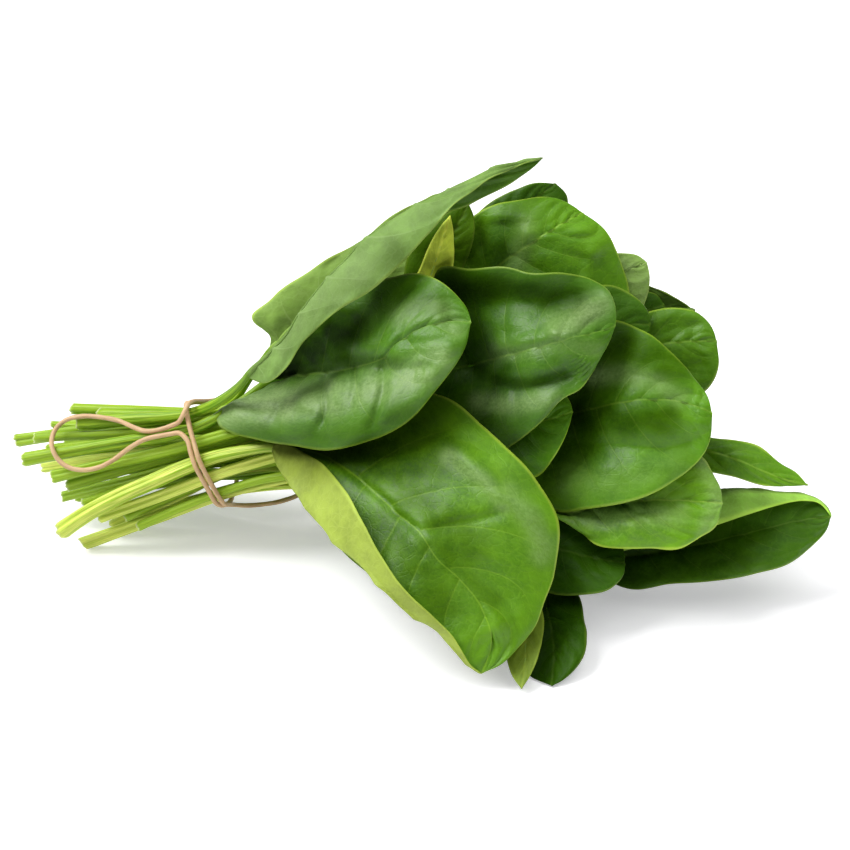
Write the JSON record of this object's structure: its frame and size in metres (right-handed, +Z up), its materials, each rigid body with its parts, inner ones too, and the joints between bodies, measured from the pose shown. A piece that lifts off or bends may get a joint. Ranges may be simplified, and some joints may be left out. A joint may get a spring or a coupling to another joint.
{
  "type": "spinach bunch",
  "caption": "Bunch of fresh spinach lying on its side: dark blistered leaves on long pale stalks, tied with one rubber band wound round the stalks.",
  "frame": {"origin": "on the surface the bunch lies on, under the middle of the overall box", "axes": "+X along the bunch from the cut ends of the stalks to the leaf tips, +Y to the back, +Z up"},
  "size_m": [0.2848, 0.1336, 0.1337],
  "materials": {
    "leaf_upper": "waxy, half gloss",
    "leaf_underside": "matt",
    "band_rubber": "matt"
  },
  "bodies": {
    "root": {"leaf_top_folded": "leaf_underside", "leaf_left_blistered": "leaf_upper", "leaf_front_large": "leaf_upper", "leaf_middle_blistered": "leaf_upper", "leaf_small_middle": "leaf_upper", "leaf_right_large": "leaf_upper", "leaf_right_crinkled": "leaf_upper", "leaf_low_small": "leaf_upper", "leaf_drooping_pale": "leaf_underside", "leaf_drooping_dark": "leaf_upper", "leaf_under": "leaf_upper", "leaf_right_pointed": "leaf_upper", "leaf_right_folded": "leaf_upper", "leaf_behind_middle": "leaf_upper", "leaf_right_round": "leaf_upper", "leaf_young_pale": "leaf_underside", "leaf_young_dark": "leaf_upper", "leaf_top_round": "leaf_upper", "leaf_top_behind": "leaf_upper", "leaf_right_behind": "leaf_underside", "leaf_right_tip": "leaf_upper", "leaf_top_lobed": "leaf_underside", "leaf_inner_upper": "leaf_upper", "leaf_inner_middle": "leaf_upper", "leaf_inner_lower": "leaf_upper", "leaf_back_ground": "leaf_upper", "leaf_back_lower": "leaf_upper", "leaf_back_middle": "leaf_upper", "leaf_back_side": "leaf_upper", "leaf_back_upper": "leaf_upper", "leaf_back_top": "leaf_upper", "rubber_band": "band_rubber"}
  },
  "joints": []
}
